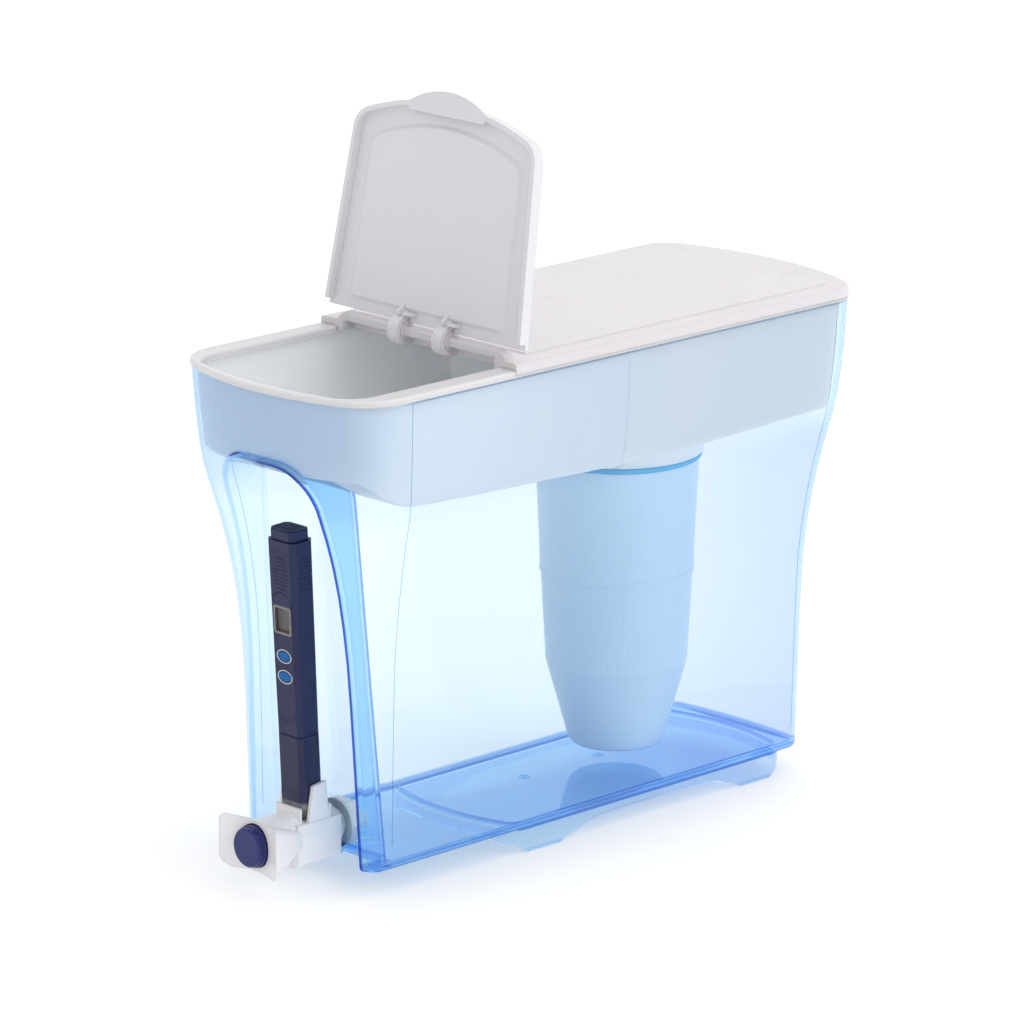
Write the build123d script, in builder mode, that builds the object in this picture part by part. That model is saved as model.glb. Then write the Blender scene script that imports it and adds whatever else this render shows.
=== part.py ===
from build123d import *
import math
import os

# Gravity water filter with a push tap: a long fridge tank, a pouring reservoir
# that hangs in its rim, a bayonet filter below it, and a water tester that
# stands in a cradle on the tap.  Millimetres, +Z up, tap towards -Y, the flip
# lid standing open.  Heights below are taken from the tank's bottom edge; the
# foot skirt below it lifts everything by FOOT.

# ---------------------------------------------------------------- dimensions
FOOT = 12.3              # feet below the tank's bottom edge
TANK_Y = 14.1            # moves the rim's middle so that the whole is centred
WALL = 2.4               # tank wall
FLOOR = 2.8              # tank floor
RIM_H = 238.0            # tank height over its bottom edge

# height: half width, front corner r, corner centre, bow end, rear the same
TANK_SECTIONS = {
    0.0: (46.7, 9.3, 148.1, 159.3, 8.8, 133.4, 144.6),
    50.0: (47.4, 10.5, 148.6, 160.6, 9.5, 134.3, 146.0),
    84.0: (48.18, 11.41, 149.03, 161.89, 10.1, 134.72, 147.17),
    105.0: (49.09, 12.24, 149.4, 163.18, 10.66, 135.13, 148.36),
    122.0: (50.85, 13.41, 149.85, 165.09, 11.42, 135.84, 150.26),
    138.0: (53.19, 14.81, 150.42, 167.64, 12.37, 136.69, 152.67),
    153.0: (56.08, 16.43, 151.2, 171.22, 13.64, 137.67, 155.7),
    167.0: (59.53, 18.28, 152.14, 175.66, 14.97, 138.48, 159.08),
    178.0: (62.85, 20.04, 153.01, 179.74, 15.87, 138.82, 161.9),
    188.0: (64.97, 21.66, 153.85, 183.61, 16.56, 139.13, 163.89),
    198.0: (66.21, 22.98, 154.61, 186.62, 17.08, 139.49, 165.21),
    214.0: (67.5, 24.0, 155.3, 188.2, 17.6, 140.3, 166.5),
    238.0: (68.8, 25.0, 156.0, 188.9, 18.0, 140.8, 167.5),
}
SKIRT = (45.6, 11.0, 53.0, 69.5, 10.0, 121.0, 137.0)
RIM = (69.3, 25.5, 156.0, 189.4, 18.5, 140.8, 168.0)

ARCH_LEAN = (0.99947, 0.03248)
ARCH_CORNER = (11.4, 181.2, 21.0)    # X, height, radius of the niche's top corners
ARCH_CROWN = 237.8       # radius of its nearly flat crown
ARCH_TOP = 202.5
NICHE_BACK_Z0 = 9.0      # the niche's back wall leans from here
NICHE_BACK_Y0 = -141.5
NICHE_LEAN = 0.0687      # forward per unit of height

TAP_Z = 12.3             # tap axis over the bottom edge
BOSS_FACE = -143.0       # outer face of the tap boss
BOSS_INNER = -138.5

RES_GAP = 0.5            # reservoir to tank wall
RES_WALL = 1.8
RES_STEP_Y = -3.0        # the reservoir is 1 mm narrower behind this
OPENING_X = 57.3         # half width of the pouring opening
OPENING_FRONT = 184.5
LIP_H = 241.3            # top of the lip round the opening
FLANGE_H = 239.5         # top of the flange under the rear cover
COVER_TOP = 244.8
COVER_FRONT = -82.5

HINGE_Y = -77.5
HINGE_Z = 246.2
LID_OPEN = 100.0         # degrees, from closed
JOURNAL_R = 4.93
HOOK_R_IN = 5.0
HOOK_R_OUT = 7.5
HOOK_W = 6.8
HOOK_X = 15.6

FILTER_Y = 53.9
NECK_R = 33.2
COLLAR_BORE = 33.6
COLLAR_LOW = 166.0       # lower end of the reservoir's collar
HEAD = COLLAR_LOW - 161.3 # lift of everything in the filter's head

BARREL_R = 12.3
SHIELD_X = 20.5
BUTTON_FRONT = -196.2
BUTTON_R = 10.4
BUTTON_TRAVEL = 5.0
SEAT_Y = -159.5

PEN_Y = -159.9           # tester axis at PEN_Z
PEN_Z = 26.9
PEN_LEAN = 2.7           # degrees, top towards the front
PEN_SEAM = 36.3
PEN_TOP = 134.6

os.makedirs("parts", exist_ok=True)


# ---------------------------------------------------------------- planes
def level(h):
    """horizontal plane at height h over the tank's bottom edge"""
    return Plane((0, TANK_Y, h + FOOT))


def facing_front(y):
    """upright plane, normal towards the tap side; local x, y are X and height"""
    return Plane(origin=(0, y + TANK_Y, FOOT), x_dir=(1, 0, 0), z_dir=(0, -1, 0))


def side(x=0.0):
    """upright plane, normal +X; local x, y are length and height"""
    return Plane(origin=(x, TANK_Y, FOOT), x_dir=(0, 1, 0), z_dir=(1, 0, 0))


def pen(h):
    """plane across the tester at distance h along its axis"""
    a = math.radians(PEN_LEAN)
    up = (0, -math.sin(a), math.cos(a))
    return Plane(origin=(0, PEN_Y + TANK_Y + h * up[1], PEN_Z + FOOT + h * up[2]),
                 x_dir=(1, 0, 0), z_dir=up)


def pen_face(d):
    """plane parallel to the tester's front at distance d before its axis;
    local x is X, local y runs up the tester"""
    a = math.radians(PEN_LEAN)
    out = (0, -math.cos(a), -math.sin(a))
    return Plane(origin=(0, PEN_Y + TANK_Y + d * out[1], PEN_Z + FOOT + d * out[2]),
                 x_dir=(1, 0, 0), z_dir=out)


def lid_plane(w):
    """plane of the lid at distance w outwards from the hinge axis;
    local x is -X, local y runs from the hinge to the pull tab"""
    a = math.radians(LID_OPEN - 90)
    out = (0, math.cos(a), -math.sin(a))
    return Plane(origin=(0, HINGE_Y + TANK_Y + w * out[1], HINGE_Z + FOOT + w * out[2]),
                 x_dir=(-1, 0, 0), z_dir=out)


FILTER_AXIS = Axis((0, FILTER_Y + TANK_Y, 0), (0, 0, 1))
HINGE_AXIS = Axis((0, HINGE_Y + TANK_Y, HINGE_Z + FOOT), (1, 0, 0))


# ---------------------------------------------------------------- outlines
def long_outline(s, t=0.0):
    """closed outline with rounded corners and bowed ends, inset by t"""
    x, rf, yf, bf, rr, yr, br = s

    def bow(r, yc, yb, sgn):
        d = yb - yc
        big = ((x - r) ** 2 + d * d - r * r) / (2 * (d - r))
        cx, cy = x - r, yc
        by = yb - big
        ux, uy = cx / (big - r), (cy - by) / (big - r)
        tx, ty = ux * (big - t), by + uy * (big - t)
        a = math.atan2(uy, ux) / 2
        mx, my = cx + (r - t) * math.cos(a), cy + (r - t) * math.sin(a)
        return [(x - t, sgn * yc), (mx, sgn * my), (tx, sgn * ty), (0, sgn * (yb - t)),
                (-tx, sgn * ty), (-mx, sgn * my), (-(x - t), sgn * yc)]

    f = bow(rf, yf, bf, -1)
    r = bow(rr, yr, br, 1)
    with BuildSketch() as outline:
        with BuildLine():
            Line(r[0], f[0])
            ThreePointArc(f[0], f[1], f[2])
            ThreePointArc(f[2], f[3], f[4])
            ThreePointArc(f[4], f[5], f[6])
            Line(f[6], r[6])
            ThreePointArc(r[6], r[5], r[4])
            ThreePointArc(r[4], r[3], r[2])
            ThreePointArc(r[2], r[1], r[0])
        make_face()
    return outline.sketch


def arch(grow):
    """outline of the front niche, grown by a wall: straight leaning sides,
    two corner arcs and a nearly flat crown"""
    nx, nz = ARCH_LEAN                       # outward normal of the right side
    cx, cz, r = ARCH_CORNER
    big = ARCH_CROWN
    crown_z = ARCH_TOP - big
    k = math.hypot(cx, cz - crown_z)
    tx, tz = cx / k, (cz - crown_z) / k      # from the crown's centre to the corner's
    low = (cx + nx * (r + grow) - (-4.0 - cz) * nz / nx, -4.0)
    side_top = (cx + nx * (r + grow), cz + nz * (r + grow))
    a = (math.atan2(nz, nx) + math.atan2(tz, tx)) / 2
    mid = (cx + (r + grow) * math.cos(a), cz + (r + grow) * math.sin(a))
    corner_end = (tx * (big + grow), crown_z + tz * (big + grow))
    left = [(-p[0], p[1]) for p in (low, side_top, mid, corner_end)]
    with BuildSketch() as outline:
        with BuildLine():
            Line(low, side_top)
            ThreePointArc(side_top, mid, corner_end)
            ThreePointArc(corner_end, (0, ARCH_TOP + grow), left[3])
            ThreePointArc(left[3], left[2], left[1])
            Line(left[1], left[0])
            Line(left[0], low)
        make_face()
    return outline.sketch


def full_loft(t):
    """the tank's outline lofted over its whole height, inset by t"""
    with BuildPart() as body:
        for h, s in TANK_SECTIONS.items():
            with BuildSketch(level(h)):
                add(long_outline(s, t))
        loft(ruled=True)
    return body.part


def niche_solid(grow, rounded=True):
    """the niche as a body, grown by a wall, with a leaning back"""
    with BuildPart() as body:
        with BuildSketch(facing_front(-120)):
            add(arch(grow))
        extrude(amount=90)
        with BuildSketch(side(-60)):
            z1 = 230.0
            yb = NICHE_BACK_Y0 + grow
            with BuildLine():
                Polyline((-215, -30), (-215, z1), (yb - NICHE_LEAN * (z1 - NICHE_BACK_Z0), z1),
                         (yb - NICHE_LEAN * (-30 - NICHE_BACK_Z0), -30), close=True)
            make_face()
        extrude(amount=120, mode=Mode.INTERSECT)
        if rounded:
            rear = body.faces().sort_by(Axis.Y)[-1]
            low = rear.edges().sort_by(Axis.Z)[0]
            fillet([e for e in rear.edges() if e != low], 4.0 + grow)
    return body.part


# ---------------------------------------------------------------- tank
niche_cut = niche_solid(0.0)
niche_wall = niche_solid(WALL)

with BuildPart() as tank_room:
    add(full_loft(WALL))
    with BuildSketch(level(-1)):
        Rectangle(200, 500)
    extrude(amount=FLOOR + 1, mode=Mode.SUBTRACT)
    low_face = tank_room.faces().sort_by(Axis.Z)[0]
    fillet(low_face.edges(), 2.0)
    add(niche_wall, mode=Mode.SUBTRACT)
    # pocket round the tap nut, below the floor
    with BuildSketch(facing_front(BOSS_INNER)):
        with Locations((0, TAP_Z)):
            Circle(13.2)
    extrude(amount=-22)

with BuildPart() as tank:
    add(full_loft(0.0))
    low_face = tank.faces().sort_by(Axis.Z)[0]
    fillet(low_face.edges(), 3.2)
    # foot skirt
    with BuildSketch(level(-FOOT)):
        add(long_outline(SKIRT))
    extrude(amount=FOOT + 2.0)
    # bulge under the tap nut
    with BuildSketch(facing_front(BOSS_FACE)):
        with Locations((0, TAP_Z)):
            Circle(15.6)
    extrude(amount=-(22 + BOSS_INNER - BOSS_FACE + 2.4))
    add(niche_cut, mode=Mode.SUBTRACT)
    # the boss stands proud into the niche round the tap hole
    with BuildSketch(facing_front(BOSS_FACE)):
        with Locations((0, TAP_Z)):
            Circle(15.6)
    extrude(amount=-4.5)
    add(tank_room.part, mode=Mode.SUBTRACT)
    # hollow under the tank inside the skirt
    with BuildSketch(level(-FOOT)):
        add(long_outline(SKIRT, 2.3))
    extrude(amount=FOOT, mode=Mode.SUBTRACT)
    # the skirt is cut away between its four feet
    with BuildSketch(side(-60)):
        with BuildLine():
            Spline((-30.5, -FOOT), (-18, -8.3), (-6.5, -5.3), (8, -4.2), (40, -4.0), (71, -4.6), (87, -7.5), (99.5, -FOOT))
            Polyline((99.5, -FOOT), (99.5, -FOOT - 3), (-30.5, -FOOT - 3), (-30.5, -FOOT))
        make_face()
        with BuildLine():
            Spline((-49.5, -FOOT), (-55, -10.6), (-60, -7.6), (-67, -5.6), (-80, -5.0))
            Polyline((-80, -5.0), (-80, -FOOT - 3), (-49.5, -FOOT - 3), (-49.5, -FOOT))
        make_face()
        with BuildLine():
            Spline((118.5, -FOOT), (122, -10.6), (126, -7.8), (133, -5.6), (150, -5.0))
            Polyline((150, -5.0), (150, -FOOT - 3), (118.5, -FOOT - 3), (118.5, -FOOT))
        make_face()
    extrude(amount=120, mode=Mode.SUBTRACT)
    # ridge on the floor above the skirt
    with BuildSketch(level(FLOOR - 0.2)):
        add(long_outline(SKIRT, 1.6))
        add(long_outline(SKIRT, 3.2), mode=Mode.SUBTRACT)
    extrude(amount=1.1)
    # tap hole
    with BuildSketch(facing_front(BOSS_FACE - 1)):
        with Locations((0, TAP_Z)):
            Circle(8.4)
    extrude(amount=-8, mode=Mode.SUBTRACT)
tank.part.label = "tank"
export_step(tank.part, "parts/tank.step")


# ---------------------------------------------------------------- reservoir
with BuildPart() as step_block:
    with BuildSketch(level(150)):
        with Locations((0, RES_STEP_Y + 150)):
            Rectangle(220, 300)
    extrude(amount=100)
    add(full_loft(WALL + RES_GAP + 1.0), mode=Mode.SUBTRACT)

RES_UNDER = [(-200, 199.5), (-171.5, 199.5), (-163.5, 193.2), (-153, 187.0), (-144.5, 184.7), (-99, 182.4),
             (-45, 180.5), (-5, 178.9), (51, 178.3), (94, 180.0), (133, 181.4), (200, 182.4)]

with BuildPart() as tub_room:
    add(full_loft(WALL + RES_GAP + RES_WALL + 0.5))
    with BuildSketch(side(-100)):
        with BuildLine():
            Polyline(*[(y, z + RES_WALL) for y, z in RES_UNDER], (200, 260), (-200, 260), close=True)
        make_face()
    extrude(amount=200, mode=Mode.INTERSECT)
    add(niche_solid(WALL + 0.6 + RES_WALL, False), mode=Mode.SUBTRACT)

with BuildPart() as lip:
    with BuildSketch(level(RIM_H)):
        add(long_outline(RIM))
        with Locations((0, COVER_FRONT - 0.4 + 150)):
            Rectangle(200, 300, mode=Mode.SUBTRACT)
        add(long_outline((OPENING_X, 18.0, 162.5, OPENING_FRONT, 12.0, 140.0, 156.0)), mode=Mode.SUBTRACT)
    extrude(amount=LIP_H - RIM_H)
    fillet(lip.faces().sort_by(Axis.Z)[-1].edges().filter_by(
        lambda e: e.center().Y - TANK_Y < COVER_FRONT - 2.0), 1.2)

with BuildPart() as reservoir:
    add(full_loft(WALL + RES_GAP))
    with BuildSketch(side(-100)):
        with BuildLine():
            Polyline(*RES_UNDER, (200, 260), (-200, 260), close=True)
        make_face()
    extrude(amount=200, mode=Mode.INTERSECT)
    add(step_block.part, mode=Mode.SUBTRACT)
    add(niche_solid(WALL + 0.6, False), mode=Mode.SUBTRACT)
    # funnel down to the filter collar
    with BuildSketch(side()):
        with Locations((FILTER_Y, 0)):
            Polygon((0, 180.5), (52, 180.5), (43.4, 174.4), (43.4, COLLAR_LOW), (0, COLLAR_LOW), align=None)
    revolve(axis=FILTER_AXIS)
    add(tub_room.part, mode=Mode.SUBTRACT)
    with BuildSketch(side()):
        with Locations((FILTER_Y, 0)):
            Polygon((0, 186), (52.5, 183.0), (41.2, 169.4 + HEAD), (COLLAR_BORE, 169.4 + HEAD), (COLLAR_BORE, 167.4 + HEAD),
                    (36.4, 167.4 + HEAD), (36.4, 163.3 + HEAD), (COLLAR_BORE, 163.3 + HEAD), (COLLAR_BORE, 150), (0, 150), align=None)
    revolve(axis=FILTER_AXIS, mode=Mode.SUBTRACT)
    # three entries for the filter's lugs
    with BuildSketch(level(COLLAR_LOW)):
        with Locations((0, FILTER_Y)):
            with PolarLocations(0, 3, start_angle=60):
                Polygon((0, 0), (50, -20.7), (50, 20.7), align=None)
            Circle(36.4, mode=Mode.INTERSECT)
    extrude(amount=3, mode=Mode.SUBTRACT)
    # hanging flange and the lip round the pouring opening
    with BuildSketch(level(RIM_H)):
        add(long_outline(RIM))
        add(long_outline(RIM, 5.4), mode=Mode.SUBTRACT)
    extrude(amount=FLANGE_H - RIM_H)
    add(lip.part)
reservoir.part.label = "reservoir"
export_step(reservoir.part, "parts/reservoir.step")


# ---------------------------------------------------------------- rear cover
with BuildPart() as rear_cover:
    with BuildSketch(level(FLANGE_H)):
        add(long_outline(RIM))
        with Locations((0, COVER_FRONT - 150)):
            Rectangle(200, 300, mode=Mode.SUBTRACT)
    extrude(amount=COVER_TOP - FLANGE_H)
    fillet(rear_cover.faces().sort_by(Axis.Z)[-1].edges().filter_by(
        lambda e: e.center().Y - TANK_Y > COVER_FRONT + 1), 2.0)
    # slightly raised field on top
    with BuildSketch(level(COVER_TOP - 0.1)):
        add(long_outline(RIM, 11.0))
        with Locations((0, -66 - 150)):
            Rectangle(200, 300, mode=Mode.SUBTRACT)
    extrude(amount=0.65)
    chamfer(rear_cover.faces().sort_by(Axis.Z)[-1].edges(), 0.45)
    # hollow underside
    with BuildSketch(level(FLANGE_H)):
        add(long_outline(RIM, 4.0))
        with Locations((0, -68 - 150)):
            Rectangle(200, 300, mode=Mode.SUBTRACT)
    extrude(amount=COVER_TOP - FLANGE_H - 2.2, mode=Mode.SUBTRACT)
    # lip that locates it inside the reservoir
    with BuildSketch(level(235.8)):
        add(long_outline(RIM, 6.6))
        add(long_outline(RIM, 8.4), mode=Mode.SUBTRACT)
        with Locations((0, -66 - 150)):
            Rectangle(200, 300, mode=Mode.SUBTRACT)
    extrude(amount=FLANGE_H - 235.8 + 4.0)
    # stiffening wall behind the hinge
    with BuildSketch(level(236.5)):
        with Locations((0, -66)):
            Rectangle(124, 2.0)
    extrude(amount=6.8)
    # the opening behind the hinge rail
    with BuildSketch(level(FLANGE_H - 1)):
        with Locations((0, -80.5)):
            Rectangle(107.4, 12.0)
        with Locations((-HOOK_X, -72), (HOOK_X, -72)):
            Rectangle(8.4, 7.0)
    extrude(amount=10, mode=Mode.SUBTRACT)
    # hinge rail with its two journals; the ends run down into the side arms
    with BuildSketch(side(-54.2)):
        with Locations((HINGE_Y, HINGE_Z)):
            RectangleRounded(6.0, 5.0, 1.5)
    extrude(amount=108.4)
    with BuildSketch(side(-HOOK_X - 3.8)):
        with Locations((HINGE_Y, HINGE_Z)):
            Circle(JOURNAL_R)
    extrude(amount=7.6)
    with BuildSketch(side(HOOK_X - 3.8)):
        with Locations((HINGE_Y, HINGE_Z)):
            Circle(JOURNAL_R)
    extrude(amount=7.6)
    with BuildSketch(facing_front(HINGE_Y - 3.0)):
        for s in (-1, 1):
            with BuildLine():
                Polyline((s * 53.0, 243.7), (s * 53.0, 248.7), (s * 55.5, 248.0), (s * 60.5, COVER_TOP - 1.0), (s * 60.5, 243.7), close=True)
            make_face()
    extrude(amount=-6.0)
    # webs that tie the rail to the plate
    with BuildSketch(level(242.6)):
        for x in (-46, -32, 0, 32, 46):
            with Locations((x, -74.2)):
                Rectangle(3.0, 2.0)
    extrude(amount=2.2)
rear_cover.part.label = "rear_cover"
export_step(rear_cover.part, "parts/rear_cover.step")


# ---------------------------------------------------------------- pouring lid
LID = (69.2, 63.6, 12.0, 92.4, 112.6)   # half widths at hinge and corner, corner r, corner height, bow
LID_U0 = 4.0


def lid_outline(t=0.0):
    """outline of the lid from the hinge edge to the bowed front, inset by t;
    its sides draw in towards the front"""
    x0, x1, r, uc, ub = LID
    lean = math.atan2(x0 - x1, uc - LID_U0)
    ny, nx = math.sin(lean), math.cos(lean)      # outward normal of the right side
    cx, cy = x1 - r * nx, uc - r * ny
    d = ub - cy
    big = (cx ** 2 + d * d - r * r) / (2 * (d - r))
    by = ub - big
    k = math.hypot(cx, cy - by)
    ux, uy = cx / k, (cy - by) / k
    u0 = LID_U0 + t
    side_top = (cx + (r - t) * nx, cy + (r - t) * ny)
    side_low = (side_top[0] + (side_top[1] - u0) * ny / nx, u0)
    a = (math.atan2(ny, nx) + math.atan2(uy, ux)) / 2
    mid = (cx + (r - t) * math.cos(a), cy + (r - t) * math.sin(a))
    end = (ux * (big - t), by + uy * (big - t))
    left = [(-p[0], p[1]) for p in (side_low, side_top, mid, end)]
    with BuildSketch() as outline:
        with BuildLine():
            Line(left[0], side_low)
            Line(side_low, side_top)
            ThreePointArc(side_top, mid, end)
            ThreePointArc(end, (0, ub - t), left[3])
            ThreePointArc(left[3], left[2], left[1])
            Line(left[1], left[0])
        make_face()
    return outline.sketch


def lid_panel(t=0.0):
    """outline of the raised field on the lid's inside, inset by t"""
    with BuildSketch() as outline:
        with BuildLine():
            Line((-(55.0 - t), 9.0 + t), (55.0 - t, 9.0 + t))
            Line((55.0 - t, 9.0 + t), (53.6 - t, 84.0))
            ThreePointArc((53.6 - t, 84.0), (51.4 - t, 89.6 - t * 0.6), (46.4 - t * 0.5, 92.9 - t))
            ThreePointArc((46.4 - t * 0.5, 92.9 - t), (0, 101.4 - t), (-(46.4 - t * 0.5), 92.9 - t))
            ThreePointArc((-(46.4 - t * 0.5), 92.9 - t), (-(51.4 - t), 89.6 - t * 0.6), (-(53.6 - t), 84.0))
            Line((-(53.6 - t), 84.0), (-(55.0 - t), 9.0 + t))
        make_face()
    return outline.sketch


with BuildPart() as pour_lid:
    with BuildSketch(lid_plane(-0.2)):
        add(lid_outline())
    extrude(amount=2.2)
    # pull tab at the edge's lower rim
    with BuildSketch(lid_plane(-4.0)):
        with BuildLine():
            ThreePointArc((-28, 109.6), (0, 117.9), (28, 109.6))
            Line((28, 109.6), (26, 106.0))
            Line((26, 106.0), (-26, 106.0))
            Line((-26, 106.0), (-28, 109.6))
        make_face()
    extrude(amount=1.6)
    # turned-down edge
    with BuildSketch(lid_plane(-4.0)):
        add(lid_outline())
        add(lid_outline(2.6), mode=Mode.SUBTRACT)
        with Locations((0, 3.0)):
            Rectangle(150, 7.4, mode=Mode.SUBTRACT)
    extrude(amount=4.0)
    # raised field on the inside, with bevelled edges
    with BuildSketch(lid_plane(-0.1)):
        add(lid_panel())
    with BuildSketch(lid_plane(-1.5)):
        add(lid_panel(1.9))
    loft(ruled=True)
    # relief of the lid's edge at the two hooks
    with BuildSketch(lid_plane(-4.0)):
        with Locations((-HOOK_X, 3.0), (HOOK_X, 3.0)):
            Rectangle(8.6, 7.0)
    extrude(amount=7.0, mode=Mode.SUBTRACT)
    # C hooks, open towards the rear while the lid stands
    for x in (-HOOK_X, HOOK_X):
        with BuildSketch(side(x - HOOK_W / 2)):
            with Locations((HINGE_Y, HINGE_Z)):
                Circle(HOOK_R_OUT)
                Circle(HOOK_R_IN, mode=Mode.SUBTRACT)
                Polygon((0, 0), (20 * math.cos(math.radians(-60)), 20 * math.sin(math.radians(-60))),
                        (30, 0), (20 * math.cos(math.radians(62)), 20 * math.sin(math.radians(62))),
                        align=None, mode=Mode.SUBTRACT)
        extrude(amount=HOOK_W)
        # gusset and the small shelf beside it
        with BuildSketch(lid_plane(-0.1)):
            with Locations((-x, 8.3)):
                Rectangle(HOOK_W, 3.2)
        extrude(amount=-2.0)
        with BuildSketch(side(x - 0.9)):
            with Locations(Location((HINGE_Y, HINGE_Z, 0), (0, 0, 180 - LID_OPEN))):
                Polygon((6.6, 4.2), (7.2, 0.0), (14.5, 0.0), (8.4, 5.2), align=None)
        extrude(amount=1.8)
        with BuildSketch(lid_plane(-0.1)):
            with Locations((-(x + 6.2), 8.2)):
                Rectangle(6.0, 1.6)
        extrude(amount=-4.6)
pour_lid.part.label = "pour_lid"
export_step(pour_lid.part, "parts/pour_lid.step")


# ---------------------------------------------------------------- filter
FILTER_OUT = [(20.0, 12.2), (22.2, 12.8), (23.8, 14.2), (24.7, 16.2), (25.9, 20.2), (35.8, 56.0), (38.4, 104.0),
              (38.8, 105.0), (39.2, 120.0), (40.6, 150.0), (41.2, 158.0 + HEAD)]


def filter_shell(t):
    """radius and height of the bottle's wall, inset by t"""
    return [(r - t, z + (t if z < 18 else 0)) for r, z in FILTER_OUT]


with BuildPart() as filter_housing:
    with BuildSketch(side()):
        with Locations((FILTER_Y, 0)):
            Polygon((0, 11.6), (14.0, 11.6), *FILTER_OUT, (NECK_R, 158.0 + HEAD), (NECK_R, 169.2 + HEAD), (0, 169.2 + HEAD), align=None)
    revolve(axis=FILTER_AXIS)
    with BuildSketch(side()):
        with Locations((FILTER_Y, 0)):
            Polygon((0, 13.6), *filter_shell(1.8)[:-1], (39.4, 155.6 + HEAD), (NECK_R - 2.2, 157.4 + HEAD), (NECK_R - 2.2, 180.0), (0, 180.0), align=None)
    revolve(axis=FILTER_AXIS, mode=Mode.SUBTRACT)
    # seam ring where the lower half meets the upper one
    with BuildSketch(side()):
        with Locations((FILTER_Y, 0)):
            Polygon((37.6, 103.0), (39.1, 103.6), (39.1, 105.4), (37.8, 106.0), align=None)
    revolve(axis=FILTER_AXIS)
    # bayonet lugs
    with BuildSketch(level(163.8 + HEAD)):
        with Locations((0, FILTER_Y)):
            with PolarLocations(0, 3):
                Polygon((0, 0), (50, -18.2), (50, 18.2), align=None)
            Circle(36.0, mode=Mode.INTERSECT)
            Circle(NECK_R - 0.6, mode=Mode.SUBTRACT)
    extrude(amount=3.2)
    # outlet holes
    with BuildSketch(level(9)):
        with Locations((0, FILTER_Y)):
            with PolarLocations(9.0, 8):
                Circle(1.6)
            Circle(1.6)
    extrude(amount=6, mode=Mode.SUBTRACT)
filter_housing.part.label = "filter_housing"
export_step(filter_housing.part, "parts/filter_housing.step")

with BuildPart() as filter_seal_ring:
    with BuildSketch(side()):
        with Locations((FILTER_Y, 159.5 + HEAD)):
            with Locations((39.1, 0)):
                RectangleRounded(7.4, 2.9, 1.2)
    revolve(axis=FILTER_AXIS)
filter_seal_ring.part.label = "filter_seal_ring"
export_step(filter_seal_ring.part, "parts/filter_seal_ring.step")

with BuildPart() as filter_cap:
    with BuildSketch(side()):
        with Locations((FILTER_Y, 0)):
            Polygon((0, 170.6 + HEAD), (27.0, 169.2 + HEAD), (32.4, 169.2 + HEAD), (32.4, 170.4 + HEAD), (27.0, 173.0 + HEAD),
                    (0, 174.6 + HEAD), align=None)
    revolve(axis=FILTER_AXIS)
    with BuildSketch(level(164.0 + HEAD)):
        with Locations((0, FILTER_Y)):
            Circle(NECK_R - 2.3)
            Circle(NECK_R - 4.3, mode=Mode.SUBTRACT)
    extrude(amount=5.8)
    with BuildSketch(level(165)):
        with Locations((0, FILTER_Y)):
            with PolarLocations(16.5, 12):
                SlotOverall(13.0, 2.4)
            with PolarLocations(5.0, 5):
                Circle(1.3)
    extrude(amount=20, mode=Mode.SUBTRACT)
filter_cap.part.label = "filter_cap"
export_step(filter_cap.part, "parts/filter_cap.step")

with BuildPart() as filter_coarse_screen:
    with BuildSketch(level(153.0 + HEAD)):
        with Locations((0, FILTER_Y)):
            Circle(38.2)
            with PolarLocations(12.0, 8):
                Circle(3.0, mode=Mode.SUBTRACT)
            with PolarLocations(26.0, 16):
                Circle(3.0, mode=Mode.SUBTRACT)
    extrude(amount=1.6)
filter_coarse_screen.part.label = "filter_coarse_screen"
export_step(filter_coarse_screen.part, "parts/filter_coarse_screen.step")

with BuildPart() as filter_foam:
    with BuildSketch(level(144.2 + HEAD)):
        with Locations((0, FILTER_Y)):
            Circle(38.0)
    extrude(amount=8.6)
    chamfer(filter_foam.edges().filter_by(GeomType.CIRCLE), 0.8)
filter_foam.part.label = "filter_foam"
export_step(filter_foam.part, "parts/filter_foam.step")

with BuildPart() as filter_carbon_bed:
    with BuildSketch(side()):
        with Locations((FILTER_Y, 0)):
            Polygon((0, 100.4), (36.0, 100.4), (36.9, 120.0), (38.2, 143.8), (38.2, 143.8 + HEAD), (0, 143.8 + HEAD), align=None)
    revolve(axis=FILTER_AXIS)
filter_carbon_bed.part.label = "filter_carbon_bed"
export_step(filter_carbon_bed.part, "parts/filter_carbon_bed.step")

with BuildPart() as filter_resin_bed:
    with BuildSketch(side()):
        with Locations((FILTER_Y, 0)):
            Polygon((0, 16.4), (19.0, 16.4), (23.2, 20.2), (33.5, 57.0), (35.9, 100.0), (0, 100.0), align=None)
    revolve(axis=FILTER_AXIS)
filter_resin_bed.part.label = "filter_resin_bed"
export_step(filter_resin_bed.part, "parts/filter_resin_bed.step")

with BuildPart() as filter_membrane:
    with BuildSketch(level(14.0)):
        with Locations((0, FILTER_Y)):
            Circle(17.6)
    extrude(amount=2.0)
filter_membrane.part.label = "filter_membrane"
export_step(filter_membrane.part, "parts/filter_membrane.step")


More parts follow.
